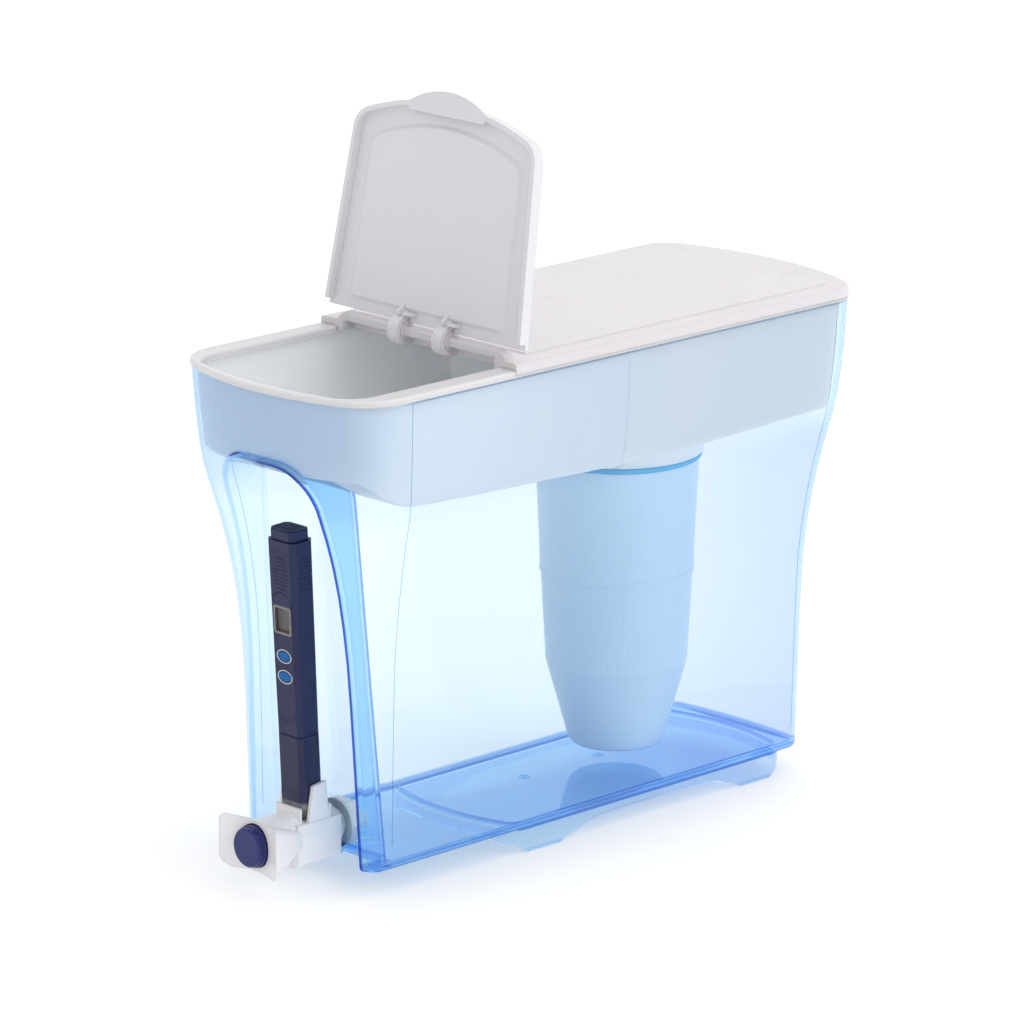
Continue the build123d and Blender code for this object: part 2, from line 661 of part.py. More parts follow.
# ---------------------------------------------------------------- tap
with BuildPart() as tap_body:
    # barrel and rear flange
    with BuildSketch(facing_front(-190.0)):
        with Locations((0, TAP_Z)):
            Circle(BARREL_R)
    extrude(amount=-(190.0 - 147.0))
    with BuildSketch(facing_front(-147.4)):
        with Locations((0, TAP_Z)):
            Circle(11.4)
    extrude(amount=-2.6)
    # square body under the cradle
    with BuildSketch(facing_front(-173.0)):
        with Locations((0, 9.9)):
            Rectangle(23.2, 21.4)
        fillet(vertices().group_by(Axis.Y)[0], 3.0)
    extrude(amount=-(173.0 - 144.9))
    with BuildSketch(facing_front(-145.0)):
        with Locations((0, TAP_Z)):
            Circle(8.0)
    extrude(amount=-21.0)
    # shield that narrows back onto the barrel
    with BuildSketch(facing_front(-195.5)):
        with Locations((0, 11.9)):
            Rectangle(2 * SHIELD_X, 29.2)
        fillet(vertices().group_by(Axis.Y)[-1], 4.5)
        fillet(vertices().group_by(Axis.Y)[0], 8.0)
    with BuildSketch(facing_front(-171.0)):
        with Locations((0, TAP_Z)):
            Rectangle(25.0, 10.0)
        fillet(vertices().group_by(Axis.Y)[-1], 2.5)
        fillet(vertices().group_by(Axis.Y)[0], 3.0)
    loft()
    with BuildSketch(level(-10)):
        with Locations((0, -190.3 - 43.0)):
            Circle(43.0)
    extrude(amount=60, mode=Mode.SUBTRACT)
    # outlet nozzle
    with BuildSketch(level(-1.8)):
        with Locations((0, -170.3)):
            Circle(6.4)
    extrude(amount=10)
    # cradle for the tester
    with BuildSketch(level(12.0)):
        with Locations((0, -160.6)):
            Rectangle(22.6, 17.2)
    extrude(amount=8.4)
    with BuildSketch(level(20.3)):
        with Locations((0, -168.4)):
            Rectangle(17.0, 1.6)
        with Locations((0, -152.0)):
            Rectangle(22.6, 1.6)
    extrude(amount=7.2)
    with BuildSketch(side(-11.3)):
        with BuildLine():
            Line((-165.6, 20.2), (-152.6, 20.2))
            Line((-152.6, 20.2), (-154.2, 39.6))
            Line((-154.2, 39.6), (-161.4, 38.4))
            ThreePointArc((-161.4, 38.4), (-162.3, 38.0), (-162.7, 37.0))
            Line((-162.7, 37.0), (-165.6, 20.2))
        make_face()
    extrude(amount=22.6)
    with BuildSketch(level(20.6)):
        with Locations((0, -160.2)):
            Rectangle(18.4, 14.8)
    extrude(amount=20, mode=Mode.SUBTRACT)
    # button bore, spring room and stem partition
    with BuildSketch(facing_front(-200)):
        with Locations((0, TAP_Z)):
            Circle(10.9)
    extrude(amount=-17.5, mode=Mode.SUBTRACT)
    with BuildSketch(facing_front(-184)):
        with Locations((0, TAP_Z)):
            Circle(1.75)
    extrude(amount=-30, mode=Mode.SUBTRACT)
    with BuildSketch(facing_front(-181.4)):
        with Locations((0, TAP_Z)):
            Circle(3.4)
    extrude(amount=-1.9, mode=Mode.SUBTRACT)
    # outlet room, seat, inlet
    with BuildSketch(facing_front(-178.0)):
        with Locations((0, TAP_Z)):
            Circle(7.6)
    extrude(amount=-15.6, mode=Mode.SUBTRACT)
    with BuildSketch(facing_front(-163)):
        with Locations((0, TAP_Z)):
            Circle(4.2)
    extrude(amount=-6, mode=Mode.SUBTRACT)
    with BuildSketch(facing_front(SEAT_Y)):
        with Locations((0, TAP_Z)):
            Circle(7.6)
    extrude(amount=-12.5, mode=Mode.SUBTRACT)
    with BuildSketch(facing_front(-150)):
        with Locations((0, TAP_Z)):
            Circle(5.2)
    extrude(amount=-40, mode=Mode.SUBTRACT)
    with BuildSketch(level(-10)):
        with Locations((0, -170.3)):
            Circle(4.3)
    extrude(amount=20, mode=Mode.SUBTRACT)
tap_body.part.label = "tap_body"
export_step(tap_body.part, "parts/tap_body.step")

with BuildPart() as tap_button:
    with BuildSketch(facing_front(-193.4)):
        with Locations((0, TAP_Z)):
            Circle(BUTTON_R)
    extrude(amount=-5.4)
    with BuildSketch(facing_front(BUTTON_FRONT)):
        with Locations((0, TAP_Z)):
            Circle(9.9)
    extrude(amount=-3.0)
    fillet(tap_button.faces().sort_by(Axis.Y)[0].edges(), 1.3)
    with BuildSketch(facing_front(-193.8)):
        with Locations((0, TAP_Z)):
            Circle(8.4)
            Circle(3.2, mode=Mode.SUBTRACT)
    extrude(amount=-10, mode=Mode.SUBTRACT)
    with BuildSketch(facing_front(-194.2)):
        with Locations((0, TAP_Z)):
            Circle(1.65)
    extrude(amount=-10, mode=Mode.SUBTRACT)
tap_button.part.label = "tap_button"
export_step(tap_button.part, "parts/tap_button.step")

with BuildPart() as tap_stem:
    with BuildSketch(facing_front(-194.15)):
        with Locations((0, TAP_Z)):
            Circle(1.6)
    extrude(amount=-39.0)
    with BuildSketch(facing_front(-157.0)):
        with Locations((0, TAP_Z)):
            Circle(3.6)
    extrude(amount=-1.4)
tap_stem.part.label = "tap_stem"
export_step(tap_stem.part, "parts/tap_stem.step")

with BuildPart() as tap_valve_seal:
    with BuildSketch(facing_front(SEAT_Y + 0.1)):
        with Locations((0, TAP_Z)):
            Circle(5.8)
            Circle(1.65, mode=Mode.SUBTRACT)
    extrude(amount=-2.2)
tap_valve_seal.part.label = "tap_valve_seal"
export_step(tap_valve_seal.part, "parts/tap_valve_seal.step")

with BuildPart() as stem_o_ring:
    with BuildSketch(side()):
        with Locations((-180.45, TAP_Z + 2.5)):
            Circle(0.82)
    revolve(axis=Axis((0, 0, TAP_Z + FOOT), (0, 1, 0)))
stem_o_ring.part.label = "stem_o_ring"
export_step(stem_o_ring.part, "parts/stem_o_ring.step")

with BuildPart() as tap_spring:
    with BuildLine():
        coil = Helix(pitch=1.35, height=4.2, radius=6.2, center=(0, -187.3 + TANK_Y, TAP_Z + FOOT), direction=(0, 1, 0))
    with BuildSketch(Plane(origin=coil @ 0, z_dir=coil % 0)):
        Circle(0.42)
    sweep()
tap_spring.part.label = "tap_spring"
export_step(tap_spring.part, "parts/tap_spring.step")

with BuildPart() as tap_outer_washer:
    with BuildSketch(facing_front(-144.8)):
        with Locations((0, TAP_Z)):
            Circle(10.9)
            Circle(8.25, mode=Mode.SUBTRACT)
    extrude(amount=-1.8)
tap_outer_washer.part.label = "tap_outer_washer"
export_step(tap_outer_washer.part, "parts/tap_outer_washer.step")

with BuildPart() as tap_inner_washer:
    with BuildSketch(facing_front(BOSS_INNER)):
        with Locations((0, TAP_Z)):
            Circle(12.2)
            Circle(8.25, mode=Mode.SUBTRACT)
    extrude(amount=-1.6)
tap_inner_washer.part.label = "tap_inner_washer"
export_step(tap_inner_washer.part, "parts/tap_inner_washer.step")

with BuildPart() as tap_nut:
    with BuildSketch(facing_front(BOSS_INNER + 1.6)):
        with Locations((0, TAP_Z)):
            RegularPolygon(12.3, 6)
            Circle(8.06, mode=Mode.SUBTRACT)
    extrude(amount=-6.5)
tap_nut.part.label = "tap_nut"
export_step(tap_nut.part, "parts/tap_nut.step")


# ---------------------------------------------------------------- tester
with BuildPart() as tester_case:
    with BuildSketch(pen(PEN_SEAM + 0.4)):
        Rectangle(17.6, 13.8)
        chamfer(vertices(), 2.2)
    with BuildSketch(pen(PEN_TOP)):
        Rectangle(19.4, 14.4)
        chamfer(vertices(), 2.4)
    loft()
    # neck that the sheath is pushed onto
    with BuildSketch(pen(PEN_SEAM - 7.0)):
        Rectangle(13.6, 10.0)
        chamfer(vertices(), 1.6)
    extrude(amount=7.8)
    # room for the board and the cells
    with BuildSketch(pen(PEN_SEAM + 2.0)):
        Rectangle(13.0, 10.0)
        chamfer(vertices(), 1.0)
    extrude(amount=120, mode=Mode.SUBTRACT)
    # display window and button openings
    with BuildSketch(pen_face(10)):
        with Locations((0, 94.8)):
            RectangleRounded(12.6, 14.4, 1.6)
        with Locations((0, 76.6), (0, 66.2)):
            Ellipse(4.6, 2.9)
    extrude(amount=-7, mode=Mode.SUBTRACT)
    # sunk line round the face panel
    with BuildSketch(pen_face(6.72)):
        with Locations((0, 76.0)):
            RectangleRounded(14.6, 66.0, 7.0)
            RectangleRounded(13.8, 65.2, 6.6, mode=Mode.SUBTRACT)
    extrude(amount=1.0, mode=Mode.SUBTRACT)
    # holes for the probe pins
    with BuildSketch(pen(PEN_SEAM - 8)):
        with Locations((-2.6, 0), (2.6, 0)):
            Circle(1.05)
    extrude(amount=14, mode=Mode.SUBTRACT)
tester_case.part.label = "tester_case"
export_step(tester_case.part, "parts/tester_case.step")

with BuildPart() as tester_battery_cap:
    with BuildSketch(pen(PEN_TOP + 0.1)):
        Rectangle(17.0, 12.8)
        chamfer(vertices(), 2.4)
    extrude(amount=5.6)
    fillet(tester_battery_cap.faces().sort_by(Axis.Z)[-1].edges(), 1.0)
    # plug into the case
    with BuildSketch(pen(PEN_TOP - 3.4)):
        Rectangle(12.6, 9.6)
        chamfer(vertices(), 1.0)
    extrude(amount=3.6)
    # grip ribs
    with BuildSketch(pen(PEN_TOP + 5.1)):
        with GridLocations(2.3, 0, 6, 1):
            Rectangle(1.0, 9.0)
    extrude(amount=2.0, mode=Mode.SUBTRACT)
tester_battery_cap.part.label = "tester_battery_cap"
export_step(tester_battery_cap.part, "parts/tester_battery_cap.step")

with BuildPart() as tester_sheath:
    with BuildSketch(pen(0.0)):
        Rectangle(17.6, 14.0)
        chamfer(vertices(), 2.2)
    extrude(amount=PEN_SEAM)
    with BuildSketch(pen(-5.6)):
        Rectangle(12.4, 9.4)
        chamfer(vertices(), 1.6)
    with BuildSketch(pen(0.0)):
        Rectangle(17.6, 14.0)
        chamfer(vertices(), 2.2)
    loft()
    with BuildSketch(pen(PEN_SEAM - 7.6)):
        Rectangle(14.2, 10.6)
        chamfer(vertices(), 1.6)
    extrude(amount=20, mode=Mode.SUBTRACT)
    with BuildSketch(pen(-3.4)):
        Rectangle(10.4, 7.0)
        chamfer(vertices(), 1.4)
    extrude(amount=40, mode=Mode.SUBTRACT)
tester_sheath.part.label = "tester_sheath"
export_step(tester_sheath.part, "parts/tester_sheath.step")

with BuildPart() as tester_bezel:
    with BuildSketch(pen_face(5.6)):
        with Locations((0, 94.8)):
            RectangleRounded(12.5, 14.3, 1.6)
            RectangleRounded(10.2, 12.0, 0.9, mode=Mode.SUBTRACT)
    extrude(amount=1.5)
tester_bezel.part.label = "tester_bezel"
export_step(tester_bezel.part, "parts/tester_bezel.step")

with BuildPart() as tester_window:
    with BuildSketch(pen_face(5.7)):
        with Locations((0, 94.8)):
            RectangleRounded(10.1, 11.9, 0.85)
    extrude(amount=1.0)
tester_window.part.label = "tester_window"
export_step(tester_window.part, "parts/tester_window.step")

with BuildPart() as tester_display:
    with BuildSketch(pen_face(3.6)):
        with Locations((0, 94.8)):
            RectangleRounded(11.4, 13.0, 0.8)
    extrude(amount=1.3)
tester_display.part.label = "tester_display"
export_step(tester_display.part, "parts/tester_display.step")

with BuildPart() as tester_board:
    with BuildSketch(pen_face(0.4)):
        with Locations((0, 82.0)):
            Rectangle(12.4, 76.0)
    extrude(amount=1.2)
    with BuildSketch(pen_face(1.6)):
        with Locations((0, 56.0)):
            Rectangle(6.0, 6.0)
        with Locations((0, 76.6), (0, 66.2)):
            Rectangle(4.0, 4.0)
    extrude(amount=1.0)
tester_board.part.label = "tester_board"
export_step(tester_board.part, "parts/tester_board.step")

for label, along in (("tester_power_button", 76.6), ("tester_hold_button", 66.2)):
    with BuildPart() as key:
        with BuildSketch(pen_face(3.8)):
            with Locations((0, along)):
                Ellipse(4.25, 2.55)
        extrude(amount=3.5)
        fillet(key.faces().sort_by(Axis.Y)[0].edges(), 0.5)
    key.part.label = label
    export_step(key.part, f"parts/{label}.step")

with BuildPart() as tester_probe_pins:
    with BuildSketch(pen(2.0)):
        with Locations((-2.6, 0), (2.6, 0)):
            Circle(1.0)
    extrude(amount=PEN_SEAM + 3.0)
tester_probe_pins.part.label = "tester_probe_pins"
export_step(tester_probe_pins.part, "parts/tester_probe_pins.step")

with BuildPart() as tester_cells:
    with BuildSketch(pen(PEN_TOP - 9.6)):
        with Locations((0, 0)):
            Rectangle(11.6, 9.0)
            chamfer(vertices(), 3.4)
    extrude(amount=5.4)
tester_cells.part.label = "tester_cells"
export_step(tester_cells.part, "parts/tester_cells.step")
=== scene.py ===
import bpy, bmesh, math, random
from mathutils import Vector, Matrix, Euler


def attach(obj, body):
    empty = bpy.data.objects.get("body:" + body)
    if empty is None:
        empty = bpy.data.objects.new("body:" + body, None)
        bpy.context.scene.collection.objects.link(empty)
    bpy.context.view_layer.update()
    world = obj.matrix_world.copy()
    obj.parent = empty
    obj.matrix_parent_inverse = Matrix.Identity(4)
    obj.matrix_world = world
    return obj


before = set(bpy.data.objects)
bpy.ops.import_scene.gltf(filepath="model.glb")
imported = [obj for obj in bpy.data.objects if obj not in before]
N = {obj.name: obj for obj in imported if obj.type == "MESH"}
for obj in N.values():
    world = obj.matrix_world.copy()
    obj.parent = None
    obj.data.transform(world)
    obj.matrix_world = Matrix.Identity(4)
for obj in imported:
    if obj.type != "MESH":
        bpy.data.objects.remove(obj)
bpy.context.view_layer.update()
random.seed(7)

FOOT = 0.0123            # feet under the tank's bottom edge
TY = 0.0141              # rim's middle along Y
scene = bpy.context.scene


# ------------------------------------------------------------------ node helpers
def new_mat(name):
    m = bpy.data.materials.new(name)
    m.use_nodes = True
    nt = m.node_tree
    nt.nodes.clear()
    out = nt.nodes.new("ShaderNodeOutputMaterial")
    p = nt.nodes.new("ShaderNodeBsdfPrincipled")
    nt.links.new(p.outputs[0], out.inputs["Surface"])
    tc = nt.nodes.new("ShaderNodeTexCoord")
    return m, nt, p, tc, out


def noise(nt, tc, scale, detail=3.0, rough=0.5, stretch=None):
    n = nt.nodes.new("ShaderNodeTexNoise")
    n.inputs["Scale"].default_value = scale
    n.inputs["Detail"].default_value = detail
    n.inputs["Roughness"].default_value = rough
    if stretch:
        mp = nt.nodes.new("ShaderNodeMapping")
        mp.inputs["Scale"].default_value = stretch
        nt.links.new(tc.outputs["Object"], mp.inputs["Vector"])
        nt.links.new(mp.outputs[0], n.inputs["Vector"])
    else:
        nt.links.new(tc.outputs["Object"], n.inputs["Vector"])
    return n


def ramp(nt, src, a, b, lo=0.3, hi=0.7):
    r = nt.nodes.new("ShaderNodeMapRange")
    r.inputs["From Min"].default_value = lo
    r.inputs["From Max"].default_value = hi
    r.inputs["To Min"].default_value = a
    r.inputs["To Max"].default_value = b
    nt.links.new(src, r.inputs["Value"])
    return r.outputs["Result"]


def tint(nt, src, c1, c2, lo=0.35, hi=0.65):
    r = nt.nodes.new("ShaderNodeValToRGB")
    r.color_ramp.elements[0].position = lo
    r.color_ramp.elements[0].color = (*c1, 1)
    r.color_ramp.elements[1].position = hi
    r.color_ramp.elements[1].color = (*c2, 1)
    nt.links.new(src, r.inputs[0])
    return r.outputs[0]


def math_node(nt, op, a, b=None):
    n = nt.nodes.new("ShaderNodeMath")
    n.operation = op
    for i, v in enumerate((a, b)):
        if v is None:
            continue
        if isinstance(v, (int, float)):
            n.inputs[i].default_value = v
        else:
            nt.links.new(v, n.inputs[i])
    return n.outputs[0]


def mix_color(nt, fac, a, b):
    n = nt.nodes.new("ShaderNodeMix")
    n.data_type = "RGBA"
    nt.links.new(fac, n.inputs[0])
    for sock, v in ((n.inputs[6], a), (n.inputs[7], b)):
        if isinstance(v, tuple):
            sock.default_value = (*v, 1)
        else:
            nt.links.new(v, sock)
    return n.outputs[2]


def bump(nt, p, height, strength, distance, chain=None):
    b = nt.nodes.new("ShaderNodeBump")
    b.inputs["Strength"].default_value = strength
    b.inputs["Distance"].default_value = distance
    nt.links.new(height, b.inputs["Height"])
    if chain is not None:
        nt.links.new(chain, b.inputs["Normal"])
    nt.links.new(b.outputs[0], p.inputs["Normal"])
    return b.outputs[0]


def soft_edge(nt, radius):
    """moulded edges are never sharp: a small rounding of the shading at them"""
    b = nt.nodes.new("ShaderNodeBevel")
    b.samples = 4
    b.inputs["Radius"].default_value = radius
    return b.outputs[0]


def edge_mask(nt, radius):
    """1 on edges, 0 on faces: where the rounded normal leaves the true one"""
    b = nt.nodes.new("ShaderNodeBevel")
    b.samples = 4
    b.inputs["Radius"].default_value = radius
    g = nt.nodes.new("ShaderNodeNewGeometry")
    d = nt.nodes.new("ShaderNodeVectorMath")
    d.operation = "DOT_PRODUCT"
    nt.links.new(b.outputs[0], d.inputs[0])
    nt.links.new(g.outputs["Normal"], d.inputs[1])
    return ramp(nt, d.outputs["Value"], 1.0, 0.0, 0.80, 0.995)


def plastic(name, c1, c2, rough=(0.3, 0.42), grain=900.0, grain_bump=0.05, coat=0.0, spec=0.5, patch=9.0,
            metal=0.0, sss=0.0, depth=0.003, wave=0.02, edge=0.0004, edge_highlight_and_wear=None, extra=None):
    """moulded plastic: soft colour drift, roughness patches, fine handling marks,
    mould grain, a slight sink and rounded edges with a painted highlight, broken up like rubbed wear"""
    m, nt, p, tc, out = new_mat(name)
    big = noise(nt, tc, patch, 4.0)
    col = tint(nt, big.outputs[0], c1, c2)
    mid = noise(nt, tc, 45.0, 5.0, 0.6)
    hair = noise(nt, tc, 60.0, 6.0, 0.7, (0.2, 1.0, 3.0))
    r = ramp(nt, mid.outputs[0], rough[0], rough[1])
    marks = ramp(nt, hair.outputs[0], 0.0, 0.10, 0.56, 0.62)
    nt.links.new(math_node(nt, "ADD", r, marks), p.inputs["Roughness"])
    # painted highlight: rounded edges are mixed towards a lighter colour, broken up by noise like rubbed wear
    if edge_highlight_and_wear is not None:
        em = edge_mask(nt, 0.0007)
        wn = noise(nt, tc, 120.0, 4.0, 0.6)
        em = math_node(nt, "MULTIPLY", em, ramp(nt, wn.outputs[0], 0.15, 1.0, 0.4, 0.62))
        col = mix_color(nt, em, col, edge_highlight_and_wear)
    if extra is not None:
        col = extra(nt, tc, col)
    nt.links.new(col, p.inputs["Base Color"])
    chain = soft_edge(nt, edge) if edge else None
    fine = noise(nt, tc, grain, 2.0)
    b1 = bump(nt, p, fine.outputs[0], grain_bump, 0.0002, chain)
    sink = noise(nt, tc, 22.0, 1.0)
    b2 = bump(nt, p, sink.outputs[0], wave, 0.002, b1)
    p.inputs["Metallic"].default_value = metal
    p.inputs["Specular IOR Level"].default_value = spec
    p.inputs["Coat Weight"].default_value = coat
    if sss:
        p.inputs["Subsurface Weight"].default_value = sss
        p.inputs["Subsurface Radius"].default_value = (1.0, 1.0, 1.0)
        p.inputs["Subsurface Scale"].default_value = depth
    return m, nt, p, tc, b2


def times(nt, fac, a, b):
    """a, multiplied by colour b where fac is 1"""
    n = nt.nodes.new("ShaderNodeMix")
    n.data_type = "RGBA"
    n.blend_type = "MULTIPLY"
    nt.links.new(fac, n.inputs[0])
    if isinstance(a, tuple):
        n.inputs[6].default_value = (*a, 1)
    else:
        nt.links.new(a, n.inputs[6])
    n.inputs[7].default_value = (*b, 1)
    return n.outputs[2]


def pulse(nt, v, a, b, soft):
    return math_node(nt, "MULTIPLY", ramp(nt, v, 0.0, 1.0, a - soft, a + soft), ramp(nt, v, 1.0, 0.0, b - soft, b + soft))


def curve(nt, src, span, stops, scale):
    """piecewise straight curve through (value, result) stops"""
    r = nt.nodes.new("ShaderNodeValToRGB")
    cr = r.color_ramp
    while len(cr.elements) > 1:
        cr.elements.remove(cr.elements[-1])
    for i, (v, w) in enumerate(stops):
        e = cr.elements[0] if i == 0 else cr.elements.new(v / span)
        e.position = v / span
        e.color = (w / scale, w / scale, w / scale, 1)
    nt.links.new(math_node(nt, "DIVIDE", src, span), r.inputs[0])
    return math_node(nt, "MULTIPLY", r.outputs[0], scale)


BOW = [(0, 159.3), (50, 160.6), (84, 161.89), (105, 163.18), (122, 165.09), (138, 167.64), (153, 171.22), (167, 175.66),
       (178, 179.74), (188, 183.61), (198, 186.62), (214, 188.2), (238, 188.9)]
SAG = [(0, 1.36), (50, 1.10), (105, 1.13), (138, 1.64), (153, 2.28), (167, 3.08), (178, 3.65), (188, 4.3), (198, 4.83),
       (214, 4.7), (238, 4.1)]


def tank_painted_shade(nt, tc):
    """painted shade on the clear tank: deeper blue painted round the niche, along its edge, in the floor and in the
    skirt, standing for walls seen edge on and their shade, stronger on the right than the left; painted shade slightly
    towards both ends and along the bottom and top edges"""
    sep = nt.nodes.new("ShaderNodeSeparateXYZ")
    nt.links.new(tc.outputs["Object"], sep.inputs[0])
    ax = math_node(nt, "MULTIPLY", math_node(nt, "ABSOLUTE", sep.outputs["X"]), 1000.0)
    y = math_node(nt, "SUBTRACT", math_node(nt, "MULTIPLY", sep.outputs["Y"], 1000.0), TY * 1000)
    h = math_node(nt, "SUBTRACT", math_node(nt, "MULTIPLY", sep.outputs["Z"], 1000.0), FOOT * 1000)
    over = math_node(nt, "SUBTRACT", h, 181.2)
    a = math_node(nt, "ADD", math_node(nt, "MAXIMUM", math_node(nt, "SUBTRACT", ax, 11.4), 0.0),
                  math_node(nt, "MULTIPLY", math_node(nt, "MINIMUM", over, 0.0), 0.0325))
    b = math_node(nt, "MAXIMUM", over, 0.0)
    d = math_node(nt, "SUBTRACT", math_node(nt, "SQRT", math_node(
        nt, "ADD", math_node(nt, "MULTIPLY", a, a), math_node(nt, "MULTIPLY", b, b))), 21.0)
    # distance outwards from the bowed front face, and backwards from the niche's back wall
    bow = curve(nt, h, 238.0, BOW, 200.0)
    sag = math_node(nt, "MULTIPLY", curve(nt, h, 238.0, SAG, 10.0), 0.001)
    sag = math_node(nt, "MULTIPLY", sag, math_node(nt, "MULTIPLY", ax, ax))
    f = math_node(nt, "SUBTRACT", math_node(nt, "MULTIPLY", y, -1.0), math_node(nt, "SUBTRACT", bow, sag))
    back = math_node(nt, "ADD", y, math_node(nt, "ADD", 141.5, math_node(nt, "MULTIPLY", math_node(nt, "SUBTRACT", h, 9.0), 0.0687)))
    front = ramp(nt, y, 1.0, 0.0, -140.0, -138.0)
    wall = math_node(nt, "MULTIPLY", pulse(nt, d, -0.5, 2.9, 0.2), front)
    lip = math_node(nt, "MULTIPLY", pulse(nt, d, -0.4, 1.7, 0.25), ramp(nt, f, 0.0, 1.0, -1.9, -1.4))
    heel = math_node(nt, "MULTIPLY", pulse(nt, d, -0.6, 1.6, 0.25), pulse(nt, back, -0.5, 1.8, 0.25))
    heel_r = math_node(nt, "MULTIPLY", pulse(nt, d, -0.6, 3.0, 0.2), pulse(nt, back, -2.3, 1.8, 0.25))
    drift = noise(nt, tc, 14.0, 3.0)
    col = tint(nt, drift.outputs[0], (0.985, 0.99, 1.0), (1.0, 1.0, 1.0))
    right = ramp(nt, sep.outputs["X"], 0.0, 1.0, -0.002, 0.002)
    # painted shade: deeper blue round the niche edge, the lip and the heel, stronger on the right side than on the left
    col = times(nt, wall, col, (0.90, 0.965, 1.0))
    col = times(nt, math_node(nt, "MULTIPLY", wall, right), col, (0.60, 0.87, 1.0))
    left = math_node(nt, "SUBTRACT", 1.0, right)
    col = times(nt, math_node(nt, "MULTIPLY", lip, right), col, (0.04, 0.12, 0.56))
    col = times(nt, math_node(nt, "MULTIPLY", lip, left), col, (0.55, 0.75, 0.95))
    col = times(nt, math_node(nt, "MULTIPLY", heel_r, right), col, (0.12, 0.27, 0.78))
    col = times(nt, math_node(nt, "MULTIPLY", heel, left), col, (0.74, 0.87, 0.98))
    # painted shade: the floor is painted deeper blue, and its outline deeper still
    col = times(nt, pulse(nt, h, -0.15, 3.25, 0.25), col, (0.355, 0.65, 0.935))
    col = times(nt, pulse(nt, h, 2.95, 4.2, 0.15), col, (0.26, 0.46, 0.86))
    # painted shade: deep blue line along the bottom outer edge of the sides, front and back
    rim = math_node(nt, "MAXIMUM", ramp(nt, ax, 0.0, 1.0, 44.0, 44.6), ramp(nt, f, 0.0, 1.0, -1.9, -1.4))
    rim = math_node(nt, "MAXIMUM", rim, ramp(nt, y, 0.0, 1.0, 141.5, 142.5))
    col = times(nt, math_node(nt, "MULTIPLY", pulse(nt, h, -0.3, 1.7, 0.2), rim), col, (0.07, 0.19, 0.62))
    # painted shade in the skirt and at its foot, where it meets the floor
    col = times(nt, ramp(nt, h, 1.0, 0.0, -0.4, 0.1), col, (0.86, 0.95, 1.0))
    col = times(nt, pulse(nt, h, -12.6, -11.2, 0.2), col, (0.60, 0.80, 0.98))
    # painted shade along the top edge at the front
    top = math_node(nt, "MULTIPLY", ramp(nt, h, 0.0, 1.0, 236.7, 237.1), ramp(nt, y, 0.0, 1.0, -156.0, -146.0))
    col = times(nt, top, col, (0.30, 0.40, 0.62))
    # painted shade: greyer towards the rear, darker at the front end and on the front half of the band
    tail = math_node(nt, "MULTIPLY", ramp(nt, y, 0.0, 1.0, 40.0, 150.0), ramp(nt, h, 1.0, 0.0, 168.0, 182.0))
    col = times(nt, tail, col, (0.86, 0.88, 0.985))
    col = times(nt, math_node(nt, "MULTIPLY", ramp(nt, y, 1.0, 0.0, -186.0, -150.0), ramp(nt, h, 0.0, 1.0, 175.0, 205.0)),
                col, (0.80, 0.86, 0.94))
    band = math_node(nt, "MULTIPLY", ramp(nt, h, 0.0, 1.0, 172.0, 180.0), ramp(nt, y, 1.0, 0.0, -3.6, -2.8))
    col = times(nt, band, col, (0.95, 0.96, 0.98))
    return col


def clear_blue(name, dens, acol, ior=1.03, coat=0.75):
    """clear coloured plastic: the colour builds up with the length of the way
    through it, so walls seen edge on turn deep blue"""
    m, nt, p, tc, out = new_mat(name)
    # the base colour carries painted shade: deeper blue edge lines and darker ends
    nt.links.new(tank_painted_shade(nt, tc), p.inputs["Base Color"])
    p.inputs["Transmission Weight"].default_value = 1.0
    p.inputs["IOR"].default_value = ior
    p.inputs["Coat Weight"].default_value = coat
    p.inputs["Coat IOR"].default_value = 1.5
    p.inputs["Coat Roughness"].default_value = 0.04
    mid = noise(nt, tc, 60.0, 4.0, 0.6)
    hair = noise(nt, tc, 40.0, 6.0, 0.7, (0.15, 1.0, 4.0))
    marks = ramp(nt, hair.outputs[0], 0.0, 0.06, 0.57, 0.63)
    nt.links.new(math_node(nt, "ADD", ramp(nt, mid.outputs[0], 0.01, 0.05), marks), p.inputs["Roughness"])
    w = noise(nt, tc, 9.0, 2.0, 0.5, (1.0, 1.0, 0.35))
    b1 = bump(nt, p, w.outputs[0], 0.06, 0.003)
    nt.links.new(b1, p.inputs["Coat Normal"])
    v = nt.nodes.new("ShaderNodeVolumeAbsorption")
    v.inputs["Color"].default_value = (*acol, 1)
    v.inputs["Density"].default_value = dens
    nt.links.new(v.outputs[0], out.inputs["Volume"])
    return m


def tinted_line(name, col):
    """a thin clear strip that only tints what is behind it: used for the moulded gate marks and for painted shade lines
    at the tank's corners and the tub's step
    """
    m, nt, p, tc, out = new_mat(name)
    n = noise(nt, tc, 30.0, 3.0)
    nt.links.new(tint(nt, n.outputs[0], col, tuple(min(1.0, c * 1.12) for c in col)), p.inputs["Base Color"])
    p.inputs["Transmission Weight"].default_value = 1.0
    p.inputs["IOR"].default_value = 1.0
    p.inputs["Roughness"].default_value = 0.0
    return m


